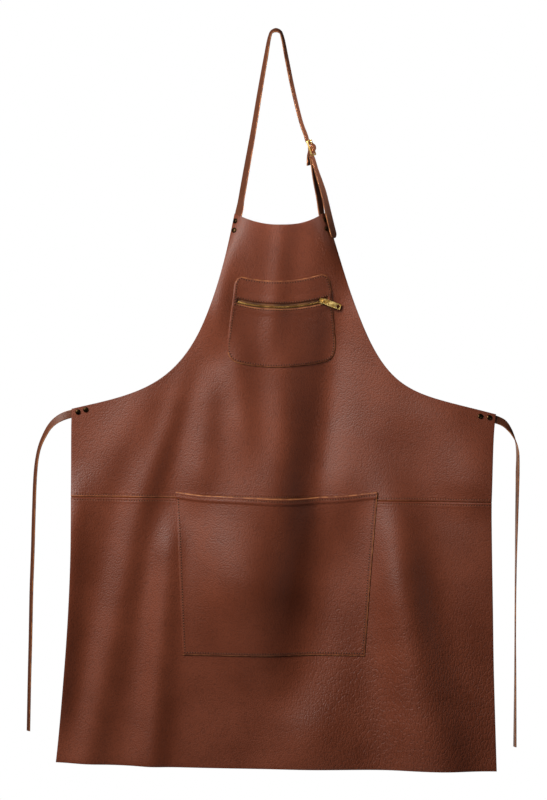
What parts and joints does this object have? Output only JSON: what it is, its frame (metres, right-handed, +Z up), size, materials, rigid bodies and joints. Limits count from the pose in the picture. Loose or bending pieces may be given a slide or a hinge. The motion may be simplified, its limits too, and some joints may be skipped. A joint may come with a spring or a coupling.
{
  "type": "leather apron",
  "caption": "Full-length leather work apron with a bib, zipped chest pocket, open lower pocket, buckled neck strap, rivets and loose waist ties, hanging by its strap.",
  "frame": {"origin": "under the top of the neck strap's loop, where the apron hangs", "axes": "+Z up, the front of the apron towards -Y, +X to the viewer's right"},
  "size_m": [0.7403, 0.0765, 1.116],
  "materials": {
    "leather": "satin, pebbled grain",
    "zip_cloth": "woven",
    "brass": "polished",
    "antique_brass": "darkened"
  },
  "bodies": {
    "apron": {"bib": "leather", "skirt": "leather", "chest_pocket": "leather", "lower_pocket": "leather", "neck_strap": "leather", "buckle_strap": "leather", "tie_left": "leather", "tie_right": "leather", "zip_tape": "zip_cloth", "zip_teeth": "brass", "zip_slider": "brass", "buckle_frame": "brass", "buckle_prong": "brass", "rivet_bib_left_1": "antique_brass", "rivet_bib_left_2": "antique_brass", "rivet_bib_right_1": "antique_brass", "rivet_bib_right_2": "antique_brass", "rivet_waist_left_1": "antique_brass", "rivet_waist_left_2": "antique_brass", "rivet_waist_right_1": "antique_brass", "rivet_waist_right_2": "antique_brass"},
    "pull": {"zip_pull": "brass"}
  },
  "joints": [
    {"name": "pull_hinge", "type": "hinge", "parent": "apron", "child": "pull", "pos_m": [0.07111, 0.00132, -0.40523], "axis": [-0.3263, 0.0107, -0.9452], "range_deg": [0, 170]}
  ]
}
